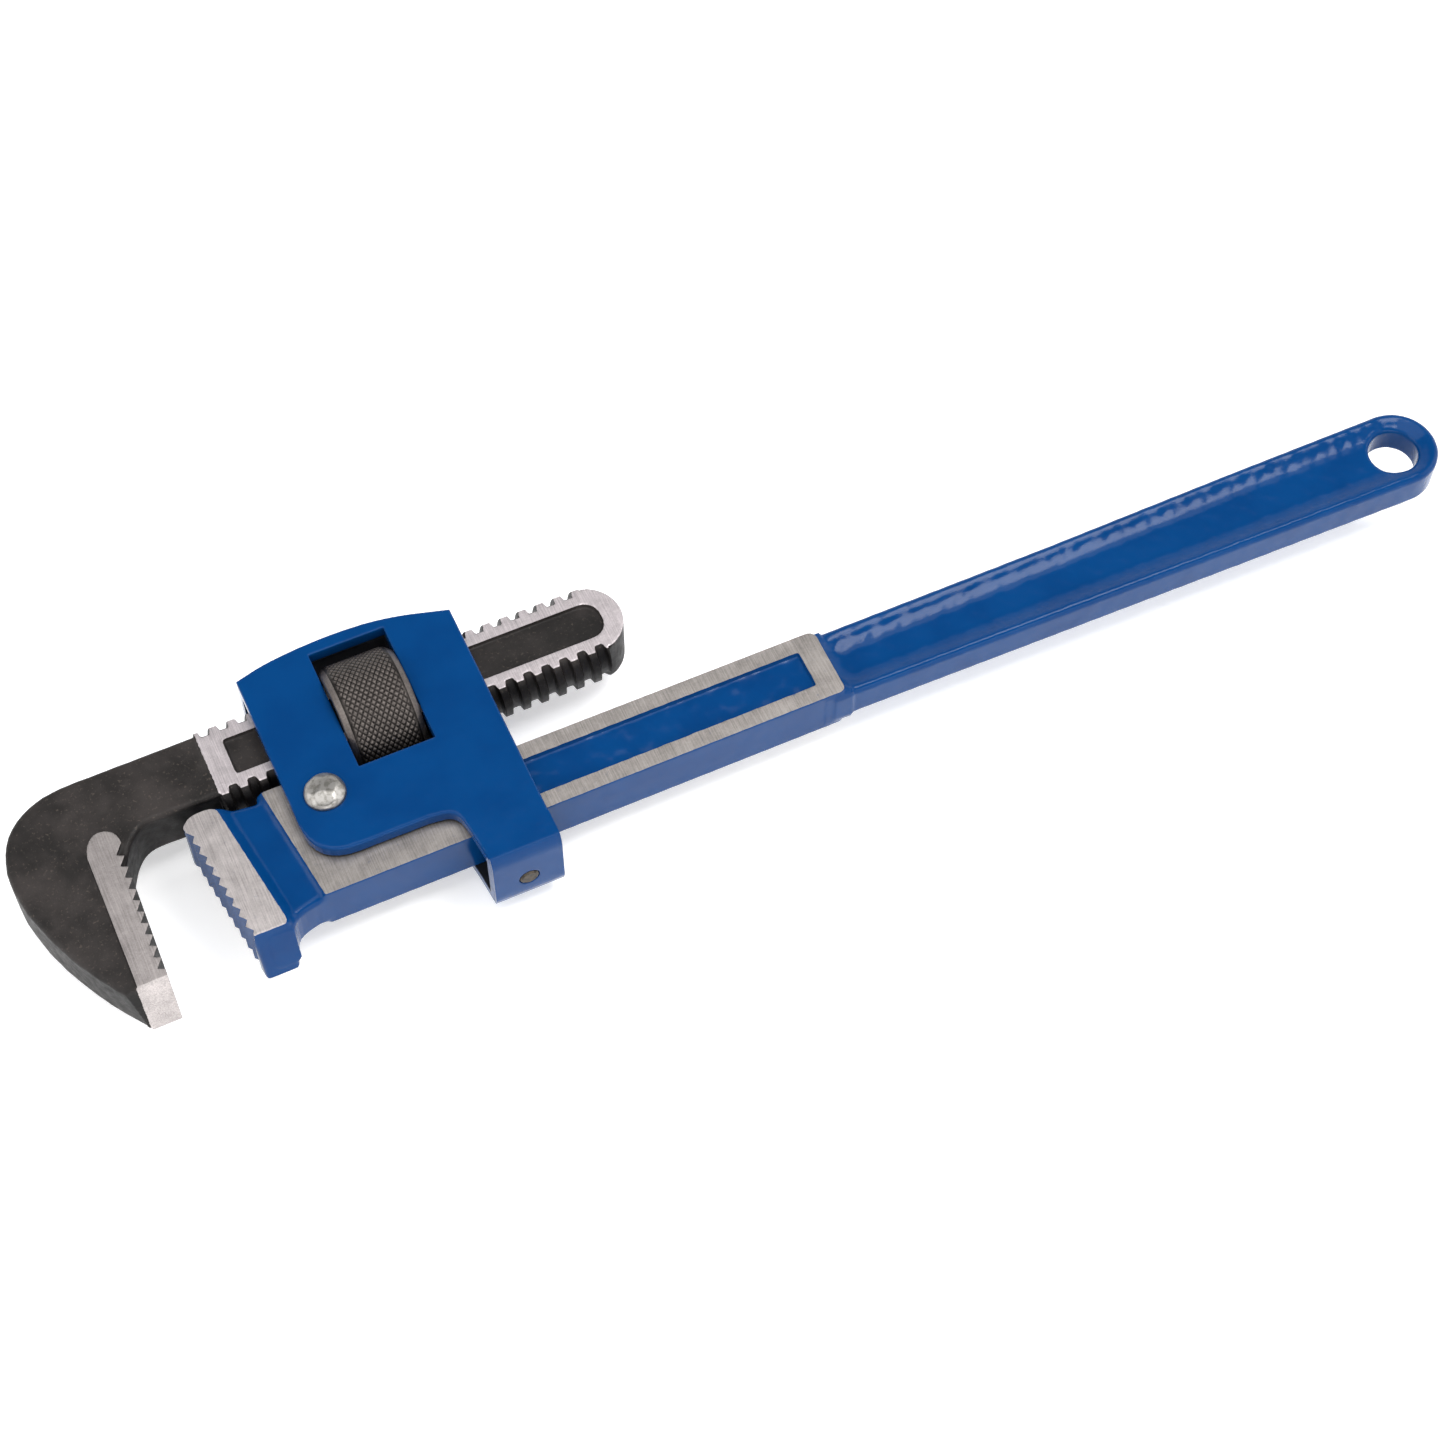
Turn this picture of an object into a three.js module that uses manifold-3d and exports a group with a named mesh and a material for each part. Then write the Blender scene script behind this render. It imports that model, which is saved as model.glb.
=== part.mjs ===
// Pipe wrench lying on its side. Working frame, in millimetres: X runs along the handle to the
// hang hole, Y points to the threaded shank, Z leaves the broad face. The handle's middle plane
// is Z = 0 and its axis is Y = 0. The finished group is moved so that its bounding box stands
// centred on the origin.
import * as THREE from "three";
import { mergeVertices } from "three/addons/utils/BufferGeometryUtils.js";
import Module from "manifold-3d";

const wasm = await Module();
wasm.setup();

// ---- driving dimensions, mm ----
const GAP = 0.3; // air between parts that rest on each other

const HEAD_HALF = 8.3; // half thickness of the ground head of the handle
const HEAD_TOP = 10.5;
const HEAD_BOTTOM = -11.9;
const HEAD_END = 105.7;
const RECESS = { left: -3.5, right: 98.6, bottom: -6.4, top: 5.0, depth: 1.1 };
const RECESS_FLARE = 0.8;

const GRIP_HALF = 6.2;
const GRIP_EDGE = 1.5; // rounding of the grip's outer edges
const GRIP_START = 103.0;
const GRIP_TOP = [[GRIP_START, 10.1], [183, 10.1], [245, 10.8]];
const GRIP_BOTTOM = [[227, -14.0], [GRIP_START, -12.2]];
const SHOULDER = { left: 100.0, right: 107.5, half: 7.4, edge: 0.6 };
const WEB_HALF = 4.1;
const POCKET_START = 110.4;
const POCKET_TOP = [[POCKET_START, 0.6], [111.6, 3.3], [114.9, 4.7], [183, 5.0], [245, 5.8]];
const POCKET_BOTTOM = [[227, -9.0], [114.9, -7.5], [111.6, -6.1], [POCKET_START, -3.4]];
const POCKET_RIM = 2.8; // flat rim round the pocket at the tail
const POCKET_WALL = 2.6; // width of the sloping wall of the grip's dished pocket
const POCKET_RISE = 1.9;
const TAIL_CENTRE = [296.2, -2.0];
const TAIL_RADIUS = 13.0;
const HANG_HOLE = [295.5, -2.3];
const HANG_HOLE_RADIUS = 7.5;

const HEEL_HALF = 9.6;
const HEEL_END = { front: -16.6, back: -20.6 }; // slanted lower end of the jaw
const NECK_HALF = 6.9; // painted groove between heel jaw and ground head
const NECK_EDGE = 0.8;
const HEEL_TOOTH_TOP = [-81.5, 21.7];
const HEEL_TOOTH_BOTTOM = [-75.9, -16.5];
const HEEL_TEETH = 10;
const HEEL_TOOTH = { depth: 1.4, root: 0.48 }; // root: where it lies along one pitch

const HOOK_HALF = 8.3;
const HOOK_EDGE = 2.2;
const HOOK_BACK = -130.8;
const HOOK_PAD_HALF = 9.0; // ground strip along the hook's teeth
const HOOK_TOOTH_TOP = [-99.2, 26.2];
const HOOK_TOOTH_BOTTOM = [-100.5, -15.4];
const HOOK_TEETH = 11;
const HOOK_TOOTH = { depth: 2.0, root: 0.75 };
const HOOK_END = { front: -17.3, back: -22.0 };
const JAW_REACH = -26.0; // the jaws are drawn to here and then cut at their slanted ends

const SHANK_Y = 41.0; // axis of the shank's thread
const SHANK_HALF = 8.0;
const SHANK_START = -69.0;
const THREAD_END = 50.0;
const SHANK_END = 58.5;
const PITCH = 5.6;
const CREST_RADIUS = 13.7;
const ROOT_RADIUS = 12.05;
const CREST_WIDTH = 2.1;
const FLANK_WIDTH = 0.6;
const THREAD_PHASE = 3.4; // where a crest crosses the shank's upper edge
const TURN_STEPS = 24;
const CORE_RADIUS = 11.0;
const NOSE_RADIUS = 11.4;
const NOSE_BLANK_RADIUS = 13.5;
const SHANK_POCKET = { left: -61.8, right: 52.0, bottom: 35.2, top: 46.6, depth: 1.0 };

const NUT_START = -30.15;
const NUT_LENGTH = 22.2;
const NUT_RADIUS = 18.5;
const NUT_CHAMFER = 1.9;
const NUT_FACE_RADIUS = 16.8;
const NUT_BAND_RADIUS = 18.2; // plain band beside the knurl
const NUT_BAND = 0.6;
const KNURL_DEPTH = 0.4;
const KNURL_STEPS = 52;
const KNURL_ROWS = 9;
const THREAD_CLEARANCE = 0.32;

const FRAME_HALF = 12.9;
const CHANNEL_HALF = 8.7;
const FRAME_LEFT = -52.4;
const FRAME_RIGHT = 12.3;
const FRAME_EDGE = 0.9;
const WINDOW = { left: -30.5, right: -7.5, bottom: 20.0, top: 60.3 };
const BAND_LEFT = -8.6;
const BAND_INSIDE = -20.7;
const BAND_OUTSIDE = -25.5;
const BAND_CORNER = -23.0;

const PIVOT = [-42.2, 15.8];
const PIVOT_RADIUS = 4.0;
const PIVOT_CLEARANCE = 0.08;
const PIVOT_HEAD_RADIUS = 6.1;
const PIVOT_HEAD_HEIGHT = 3.3;
const PIVOT_TAIL_RADIUS = 5.4;
const PIVOT_TAIL_HEIGHT = 2.2;

const LEAF_THICK = 1.2;
const LEAF_WIDTH = 11.0;
const BAND_RIVET = [1.8, -2.5]; // x and z
const BAND_RIVET_RADIUS = 1.6;
const BAND_HOLE_RADIUS = 3.1;
const BAND_HOLE_DEPTH = 2.4;
const JAW_RIVET = [3.0, 0];
const JAW_RIVET_BOTTOM = 4.0;
const UPSET = 1.2; // height of a small rivet's upset end

// ---- materials ----
function paint(color, metalness, roughness) {
  return new THREE.MeshStandardMaterial({ color, metalness, roughness });
}
const BLUE = paint(0x0b4a86, 0.0, 0.3);
const OXIDE = paint(0x2b2827, 0.6, 0.5);
const KNURLED = paint(0x4a4543, 0.7, 0.45);
const BRIGHT = paint(0xb9b9b6, 1.0, 0.3);
const SPRING = paint(0x3c3f44, 0.9, 0.4);
const RIVET = paint(0x8a6f4d, 0.8, 0.5);

// ---- solids ----
function solid(geometry) {
  const bare = geometry.clone();
  bare.deleteAttribute("normal");
  bare.deleteAttribute("uv");
  const welded = mergeVertices(bare, 1e-5);
  return new wasm.Manifold(new wasm.Mesh({
    numProp: 3,
    vertProperties: new Float32Array(welded.attributes.position.array),
    triVerts: new Uint32Array(welded.index.array),
  }));
}

function union(...parts) {
  return parts.reduce((whole, part) => whole.add(part));
}

function cut(body, ...tools) {
  return tools.reduce((rest, tool) => rest.subtract(tool), body);
}

// Closed outline from corners [x, y, radius]; a corner with a radius is rounded.
function outline(corners) {
  const shape = new THREE.Shape();
  corners.forEach(([x, y, radius = 0], i) => {
    const before = corners[(i + corners.length - 1) % corners.length];
    const after = corners[(i + 1) % corners.length];
    const toward = ([u, v]) => {
      const length = Math.hypot(u - x, v - y);
      const step = Math.min(radius, 0.49 * length) / length;
      return [x + (u - x) * step, y + (v - y) * step];
    };
    const start = toward(before);
    if (i === 0) shape.moveTo(...start);
    else shape.lineTo(...start);
    if (radius > 0) shape.quadraticCurveTo(x, y, ...toward(after));
  });
  shape.closePath();
  return shape;
}

// Slab of an outline between two heights, its edges rounded by `edge`.
function slab(shape, low, high, edge = 0, curve = 5) {
  const geometry = new THREE.ExtrudeGeometry(shape, {
    depth: high - low - 2 * edge,
    curveSegments: curve,
    bevelEnabled: edge > 0,
    bevelThickness: edge,
    bevelSize: edge,
    bevelOffset: -edge,
    bevelSegments: 2,
  });
  return solid(geometry.translate(0, 0, low + edge));
}

// Dished cutter: its floor has the given outline and its wall flares outward by `flare`.
function dish(shape, floor, top, flare, rise) {
  const geometry = new THREE.ExtrudeGeometry(shape, {
    depth: top - floor,
    curveSegments: 6,
    bevelEnabled: true,
    bevelThickness: rise,
    bevelSize: flare,
    bevelSegments: 3,
  });
  return solid(geometry.translate(0, 0, floor + rise));
}

function bothFaces(body) {
  return body.add(body.mirror([0, 0, 1]));
}

// Turned body about the line through (x, y) along Z, from [radius, z] pairs on a closed profile.
function turnedZ(profile, x, y, steps = 32) {
  const points = profile.map(([radius, z]) => new THREE.Vector2(radius, z));
  const geometry = new THREE.LatheGeometry(points, steps);
  return solid(geometry.rotateX(Math.PI / 2).translate(x, y, 0));
}

// Turned body about the line through (x, z) along Y.
function turnedY(profile, x, z, steps = 24) {
  const points = profile.map(([radius, y]) => new THREE.Vector2(radius, y));
  return solid(new THREE.LatheGeometry(points, steps).translate(x, 0, z));
}

// Rings of points about the shank's axis, closed by a fan at each end.
function ringed(rings, radiusAt) {
  const positions = [rings[0].x, SHANK_Y, 0];
  const steps = rings[0].steps;
  rings.forEach((ring, j) => {
    for (let i = 0; i < steps; i++) {
      const angle = (2 * Math.PI * i) / steps;
      const radius = radiusAt(ring, i, j);
      positions.push(ring.x, SHANK_Y + radius * Math.cos(angle), radius * Math.sin(angle));
    }
  });
  positions.push(rings[rings.length - 1].x, SHANK_Y, 0);
  const last = positions.length / 3 - 1;
  const index = [];
  for (let i = 0; i < steps; i++) {
    const next = (i + 1) % steps;
    index.push(0, 1 + next, 1 + i);
    index.push(last, last - steps + i, last - steps + next);
    for (let j = 0; j < rings.length - 1; j++) {
      const a = 1 + j * steps;
      const b = a + steps;
      index.push(a + i, a + next, b + next, a + i, b + next, b + i);
    }
  }
  const geometry = new THREE.BufferGeometry();
  geometry.setAttribute("position", new THREE.Float32BufferAttribute(positions, 3));
  geometry.setIndex(index);
  return solid(geometry);
}

// Right-handed threaded rod about the shank's axis. `ease` makes it larger all round, which
// turns it into the cutter for the nut's thread.
function threadedRod(low, high, ease) {
  const half = CREST_WIDTH / 2 + ease;
  const stations = [
    [-half, CREST_RADIUS + ease], [half, CREST_RADIUS + ease],
    [half + FLANK_WIDTH, ROOT_RADIUS + ease], [PITCH - half - FLANK_WIDTH, ROOT_RADIUS + ease],
  ];
  const turns = Math.ceil((high - low) / PITCH) + 3;
  const firstCrest = THREAD_PHASE + PITCH * (Math.floor((low - THREAD_PHASE) / PITCH) - 1);
  const rows = stations.length * turns;
  const positions = [];
  for (let i = 0; i < TURN_STEPS; i++) {
    const angle = (2 * Math.PI * i) / TURN_STEPS;
    for (let m = 0; m <= rows; m++) {
      const [offset, radius] = stations[m % stations.length];
      const turn = Math.floor(m / stations.length) + i / TURN_STEPS;
      positions.push(firstCrest + turn * PITCH + offset,
        SHANK_Y + radius * Math.cos(angle), radius * Math.sin(angle));
    }
  }
  const at = (i, m) => (i < TURN_STEPS ? i * (rows + 1) + m : m + stations.length);
  const index = [];
  const lowEnd = positions.length / 3;
  positions.push(firstCrest, SHANK_Y, 0, firstCrest + (turns + 0.5) * PITCH, SHANK_Y, 0);
  const highEnd = lowEnd + 1;
  for (let i = 0; i < TURN_STEPS; i++) {
    const wrap = i === TURN_STEPS - 1;
    const count = wrap ? rows - stations.length : rows;
    for (let m = 0; m < count; m++) {
      const [a, b, c, d] = [at(i, m), at(i + 1, m), at(i + 1, m + 1), at(i, m + 1)];
      index.push(a, b, c, a, c, d);
    }
    index.push(lowEnd, at(i + 1, 0), at(i, 0));
    index.push(highEnd, at(i, count), at(i + 1, count));
  }
  for (let s = 0; s < stations.length; s++) {
    index.push(lowEnd, at(0, s), at(0, s + 1));
    index.push(highEnd, at(TURN_STEPS - 1, rows - s), at(TURN_STEPS - 1, rows - s - 1));
  }
  const geometry = new THREE.BufferGeometry();
  geometry.setAttribute("position", new THREE.Float32BufferAttribute(positions, 3));
  geometry.setIndex(index);
  return solid(geometry);
}

// Zigzag from one end of a tooth line to the other; `side` is the direction of the tips.
function teeth([x0, y0], [x1, y1], count, side, tooth) {
  const points = [];
  for (let k = 0; k < count; k++) {
    const along = (share) => [x0 + ((x1 - x0) * share) / count, y0 + ((y1 - y0) * share) / count];
    points.push(along(k));
    const [x, y] = along(k + tooth.root);
    points.push([x - side * tooth.depth, y]);
  }
  points.push([x1, y1]);
  return points;
}

// Cutter for the slanted end of a jaw: y = `front` on the front face, y = `back` behind.
function jawEnd({ front, back }, half, low, high) {
  const slope = (front - back) / (2 * half);
  const edge = (z) => (front + back) / 2 + slope * z;
  const far = back - 4 * half;
  const reach = 2 * half;
  return alongX(outline([[edge(reach), reach], [edge(-reach), -reach], [far, -reach], [far, reach]]),
    low, high);
}

// Slab of an outline drawn in (y, z), running along X.
function alongX(shape, low, high) {
  const geometry = new THREE.ExtrudeGeometry(shape, {
    depth: high - low, curveSegments: 8, bevelEnabled: false,
  });
  const basis = new THREE.Matrix4().makeBasis(
    new THREE.Vector3(0, 1, 0), new THREE.Vector3(0, 0, 1), new THREE.Vector3(1, 0, 0),
  );
  return solid(geometry.applyMatrix4(basis).translate(low, 0, 0));
}

// ---- handle with its heel jaw ----
function makeHandle() {
  const neck = slab(outline([
    [-72, 26], [-41, 26], [-41, HEAD_BOTTOM], [-54, HEAD_BOTTOM], [-64.6, -14.5, 9],
    [-64.6, -22], [-72, -22],
  ]), -NECK_HALF, NECK_HALF, NECK_EDGE);
  const head = slab(outline([
    [-57.1, 26.1, 1], [-40, 26.1, 4], [-34, 22, 4], [-31.5, HEAD_TOP, 4],
    [HEAD_END, HEAD_TOP], [HEAD_END, HEAD_BOTTOM], [-54, HEAD_BOTTOM, 1],
  ]), -HEAD_HALF, HEAD_HALF);
  const recess = dish(outline([
    [RECESS.left, RECESS.top, 2], [RECESS.right, RECESS.top, 1.5],
    [RECESS.right, RECESS.bottom, 1.5], [RECESS.left, RECESS.bottom, 2],
  ]), HEAD_HALF - RECESS.depth, HEAD_HALF + 1, RECESS_FLARE, 0.5);
  const shoulder = slab(outline([
    [SHOULDER.left, 10.3], [SHOULDER.right, 10.1],
    [SHOULDER.right, -12.2], [SHOULDER.left, HEAD_BOTTOM],
  ]), -SHOULDER.half, SHOULDER.half, SHOULDER.edge);

  const [tailX, tailY] = TAIL_CENTRE;
  const grip = slab(tail(GRIP_TOP, GRIP_BOTTOM, TAIL_RADIUS, tailX, tailY),
    -GRIP_HALF, GRIP_HALF, GRIP_EDGE, 8);
  const pocketEnd = TAIL_RADIUS - POCKET_RIM - POCKET_WALL;
  const pocket = dish(tail(POCKET_TOP, POCKET_BOTTOM, pocketEnd, tailX, tailY),
    WEB_HALF, GRIP_HALF + 1, POCKET_WALL, POCKET_RISE);
  const [holeX, holeY] = HANG_HOLE;
  const hangHole = turnedZ([[0, -9], [HANG_HOLE_RADIUS, -9], [HANG_HOLE_RADIUS, 9], [0, 9]],
    holeX, holeY, 40);

  const heel = slab(outline([
    ...teeth(HEEL_TOOTH_BOTTOM, HEEL_TOOTH_TOP, HEEL_TEETH, -1, HEEL_TOOTH),
    [-81.9, 23.6, 1], [-79.0, 26.4, 3], [-71.8, 26.4, 3], [-70.4, 19, 3],
    [-65.4, -14.7, 1], [-65.4, JAW_REACH + 2], [-74.9, JAW_REACH + 2],
  ]), -HEEL_HALF, HEEL_HALF);
  const end = jawEnd(HEEL_END, HEEL_HALF, -90, -50);

  const [pivotX, pivotY] = PIVOT;
  const bore = PIVOT_RADIUS + PIVOT_CLEARANCE;
  const pivotHole = turnedZ([[0, -12], [bore, -12], [bore, 12], [0, 12]], pivotX, pivotY);
  const drill = BAND_RIVET_RADIUS + GAP;
  const drillEnd = JAW_RIVET_BOTTOM - 1.5;
  const rivetHole = turnedY([
    [0, drillEnd], [drill, drillEnd], [drill, HEAD_TOP + 1.5], [0, HEAD_TOP + 1.5],
  ], ...JAW_RIVET);
  const body = union(neck, head, shoulder, grip, heel);
  return cut(body, bothFaces(recess), bothFaces(pocket), hangHole, end, pivotHole, rivetHole);
}

// Outline of a bar that ends in a round tail: upper edge points from left to right, then the
// arc about the tail's centre, then the lower edge points from right to left.
function tail(upper, lower, radius, x, y) {
  const shape = new THREE.Shape();
  shape.moveTo(...upper[0]);
  upper.slice(1).forEach((point) => shape.lineTo(...point));
  shape.absarc(x, y, radius, Math.PI / 2, -Math.PI / 2, true);
  lower.forEach((point) => shape.lineTo(...point));
  shape.closePath();
  return shape;
}

// ---- hook jaw ----
function makeHookJaw() {
  const forging = new THREE.Shape();
  forging.moveTo(SHANK_START + 2, 51.6);
  forging.lineTo(-106, 51.4);
  forging.bezierCurveTo(-119, 51.4, HOOK_BACK, 45, HOOK_BACK, 28);
  forging.bezierCurveTo(HOOK_BACK, 14, -122, -6, -110.4, -21);
  forging.lineTo(-110, JAW_REACH);
  forging.lineTo(-104.2, JAW_REACH);
  forging.lineTo(-104.2, 12);
  forging.lineTo(-101.2, 17.5);
  forging.bezierCurveTo(-98.4, 21.5, -96.2, 30.4, -88.5, 30.4);
  forging.lineTo(SHANK_START + 2, 30.2);
  const body = slab(forging, -HOOK_HALF, HOOK_HALF, HOOK_EDGE, 9);
  const pad = slab(outline([
    ...teeth(HOOK_TOOTH_TOP, HOOK_TOOTH_BOTTOM, HOOK_TEETH, 1, HOOK_TOOTH),
    [-100.9, JAW_REACH], [-109.3, JAW_REACH], [-109.0, 28.5, 4], [-104.6, 33.2, 4],
    [-98.7, 30.6, 4],
  ]), -HOOK_PAD_HALF, HOOK_PAD_HALF);
  const end = jawEnd(HOOK_END, HOOK_PAD_HALF, -120, -95);

  const [top, bottom] = [SHANK_Y + 20, SHANK_Y - 20];
  const rack = threadedRod(SHANK_START, THREAD_END, 0).intersect(slab(outline([
    [SHANK_START, top], [SHANK_START, bottom], [THREAD_END, bottom], [THREAD_END, top],
  ]), -SHANK_HALF, SHANK_HALF));
  const [barStart, barEnd] = [SHANK_START - 2, SHANK_END + 1.5];
  const bar = turnedX([
    [0, barStart], [CORE_RADIUS, barStart], [CORE_RADIUS, THREAD_END - 2.5],
    [NOSE_BLANK_RADIUS, THREAD_END + 0.6], [NOSE_BLANK_RADIUS, barEnd], [0, barEnd],
  ], 36);
  const noseX = SHANK_END - NOSE_RADIUS;
  const shank = bar.intersect(slab(tail([[barStart, top], [noseX, top]],
    [[noseX, bottom], [barStart, bottom]], NOSE_RADIUS, noseX, SHANK_Y),
  -SHANK_HALF, SHANK_HALF, 0, 8));
  const pocket = dish(outline([
    [SHANK_POCKET.left, SHANK_POCKET.top, 0.8], [SHANK_POCKET.left, SHANK_POCKET.bottom, 0.8],
    [SHANK_POCKET.right, SHANK_POCKET.bottom, 5.5], [SHANK_POCKET.right, SHANK_POCKET.top, 5.5],
  ]), SHANK_HALF - SHANK_POCKET.depth, SHANK_HALF + 1, 0.4, 0.4);
  return cut(union(body, pad, rack, shank), end, bothFaces(pocket));
}

// Turned body about the shank's axis, from [radius, x] pairs.
function turnedX(profile, steps) {
  const rings = profile.slice(1, -1).map(([radius, x]) => ({ x, radius, steps }));
  return ringed(rings, (ring) => ring.radius);
}

// ---- adjusting nut ----
function makeNut() {
  const steps = KNURL_STEPS;
  const knurlStart = NUT_START + NUT_CHAMFER + NUT_BAND;
  const knurlLength = NUT_LENGTH - 2 * (NUT_CHAMFER + NUT_BAND);
  const nutEnd = NUT_START + NUT_LENGTH;
  const rings = [
    { x: NUT_START, radius: NUT_FACE_RADIUS, steps },
    { x: NUT_START + NUT_CHAMFER, radius: NUT_BAND_RADIUS, steps },
  ];
  for (let row = 0; row <= KNURL_ROWS; row++) {
    rings.push({ x: knurlStart + (knurlLength * row) / KNURL_ROWS, knurled: true, steps });
  }
  rings.push({ x: nutEnd - NUT_CHAMFER, radius: NUT_BAND_RADIUS, steps });
  rings.push({ x: nutEnd, radius: NUT_FACE_RADIUS, steps });
  const outside = ringed(rings, (ring, i, j) => (
    ring.knurled ? NUT_RADIUS - KNURL_DEPTH * ((i + j) % 2) : ring.radius));
  return cut(outside, threadedRod(NUT_START - 2, nutEnd + 2, THREAD_CLEARANCE));
}

// ---- frame ----
function makeFrame() {
  const plates = slab(outline([
    [FRAME_LEFT, 60.7], [-42, 63.4, 12], [-24, 64.8, 12], [-6, 63.8, 12],
    [FRAME_RIGHT, 58.4], [FRAME_RIGHT, BAND_CORNER], [BAND_LEFT, BAND_CORNER],
    [-9.6, -13, 5], [-11.0, -4.4, 6], [-19, -3.4], [FRAME_LEFT, -3.2, 13],
  ]), -FRAME_HALF, FRAME_HALF, FRAME_EDGE, 6);
  const section = new THREE.Shape();
  section.moveTo(BAND_CORNER + 6, FRAME_HALF);
  section.lineTo(BAND_CORNER + 0.8, FRAME_HALF);
  section.quadraticCurveTo(BAND_CORNER, FRAME_HALF, BAND_CORNER - 0.3, FRAME_HALF - 1);
  section.quadraticCurveTo(BAND_OUTSIDE, FRAME_HALF / 2, BAND_OUTSIDE, 0);
  section.quadraticCurveTo(BAND_OUTSIDE, -FRAME_HALF / 2, BAND_CORNER - 0.3, 1 - FRAME_HALF);
  section.quadraticCurveTo(BAND_CORNER, -FRAME_HALF, BAND_CORNER + 0.8, -FRAME_HALF);
  section.lineTo(BAND_CORNER + 6, -FRAME_HALF);
  const band = alongX(section, BAND_LEFT, FRAME_RIGHT);

  const channel = slab(outline([
    [FRAME_LEFT - 5, 55.5], [-42, 60.1, 12], [-24, 61.5, 12], [-6, 60.5, 12],
    [FRAME_RIGHT + 5, 53.6], [FRAME_RIGHT + 5, BAND_INSIDE], [FRAME_LEFT - 5, BAND_INSIDE],
  ]), -CHANNEL_HALF, CHANNEL_HALF);
  const windows = slab(outline([
    [WINDOW.left, WINDOW.bottom], [WINDOW.right, WINDOW.bottom],
    [WINDOW.right, WINDOW.top], [WINDOW.left, WINDOW.top],
  ]), -FRAME_HALF - 1, FRAME_HALF + 1);

  const [pivotX, pivotY] = PIVOT;
  const bore = PIVOT_RADIUS + PIVOT_CLEARANCE;
  const pivotHole = turnedZ([[0, -15], [bore, -15], [bore, 15], [0, 15]], pivotX, pivotY);
  const narrow = BAND_RIVET_RADIUS + GAP;
  const rivetHole = turnedY([
    [0, BAND_OUTSIDE - 3], [BAND_HOLE_RADIUS, BAND_OUTSIDE - 3],
    [BAND_HOLE_RADIUS, BAND_OUTSIDE + BAND_HOLE_DEPTH], [narrow, BAND_OUTSIDE + BAND_HOLE_DEPTH],
    [narrow, BAND_INSIDE + 2], [0, BAND_INSIDE + 2],
  ], ...BAND_RIVET);
  return cut(plates.add(band), channel, windows, pivotHole, rivetHole);
}

// ---- rivets ----
// Domed profile from the axis out to `radius` at height `base`, rising by `height`.
function dome(radius, base, height, segments = 5) {
  const points = [];
  for (let k = 0; k <= segments; k++) {
    const angle = (Math.PI / 2) * (k / segments);
    points.push([radius * Math.cos(angle), base + height * Math.sin(angle)]);
  }
  points[segments][0] = 0;
  return points;
}

function makePivotRivet() {
  const face = FRAME_HALF + GAP / 2;
  const tail = dome(PIVOT_TAIL_RADIUS, -face, -PIVOT_TAIL_HEIGHT).reverse();
  const head = dome(PIVOT_HEAD_RADIUS, face, PIVOT_HEAD_HEIGHT);
  return turnedZ([...tail, [PIVOT_RADIUS, -face], [PIVOT_RADIUS, face], ...head], ...PIVOT);
}

// Small rivet along Y: a head of radius `headRadius` from `headLow` to `headHigh`, and a shaft
// that ends at `shaftEnd` with an upset disc.
function smallRivet(place, headLow, headHigh, headRadius, shaftEnd) {
  const shaft = BAND_RIVET_RADIUS;
  const foot = headRadius * 0.75;
  return turnedY([
    [0, headLow], [headRadius * 0.8, headLow], [headRadius, headLow + 0.4], [headRadius, headHigh],
    [shaft, headHigh], [shaft, shaftEnd - UPSET], [foot, shaftEnd - UPSET],
    [foot, shaftEnd - 0.3], [foot * 0.6, shaftEnd], [0, shaftEnd],
  ], ...place);
}

// ---- leaf springs ----
// Strip folded back on itself: a flat foot at height `base`, a round bend at one end, and an arm
// that slopes up to a tip.
function leafSpring(footStart, footEnd, base, bend, tip, hole) {
  const [tipX, tipY] = tip;
  const half = LEAF_THICK / 2;
  const path = new THREE.Path();
  path.moveTo(footStart, base + half);
  path.lineTo(footEnd, base + half);
  const turn = base + half + 1.6 * bend;
  path.bezierCurveTo(footEnd + bend, base + half, footEnd + bend, turn, footEnd, turn);
  path.quadraticCurveTo((footEnd + tipX) / 2, tipY, tipX, tipY);
  const centre = path.getPoints(6);
  const offset = (share) => centre.map((point, i) => {
    const before = centre[Math.max(i - 1, 0)];
    const after = centre[Math.min(i + 1, centre.length - 1)];
    const run = new THREE.Vector2().subVectors(after, before).normalize();
    return [point.x - run.y * share, point.y + run.x * share];
  });
  const strip = outline([...offset(half), ...offset(-half).reverse()]);
  const drill = turnedY([
    [0, base - 3], [BAND_RIVET_RADIUS + GAP, base - 3],
    [BAND_RIVET_RADIUS + GAP, base + 3], [0, base + 3],
  ], ...hole);
  return slab(strip, -LEAF_WIDTH / 2, LEAF_WIDTH / 2).subtract(drill);
}

function addNode(name, body, material) {
  const { vertProperties, triVerts, numProp } = body.getMesh();
  const geometry = new THREE.BufferGeometry();
  const positions = new Float32Array((vertProperties.length / numProp) * 3);
  for (let i = 0; i < positions.length / 3; i++) {
    for (let k = 0; k < 3; k++) positions[3 * i + k] = vertProperties[numProp * i + k];
  }
  geometry.setAttribute("position", new THREE.BufferAttribute(positions, 3));
  geometry.setIndex(new THREE.BufferAttribute(new Uint32Array(triVerts), 1));
  geometry.computeVertexNormals();
  const mesh = new THREE.Mesh(geometry, material);
  mesh.name = name;
  wrench.add(mesh);
}

const wrench = new THREE.Group();
addNode("handle", makeHandle(), BLUE);
addNode("hook_jaw", makeHookJaw(), OXIDE);
addNode("adjusting_nut", makeNut(), KNURLED);
addNode("frame", makeFrame(), BLUE);
addNode("pivot_rivet", makePivotRivet(), BRIGHT);

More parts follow.
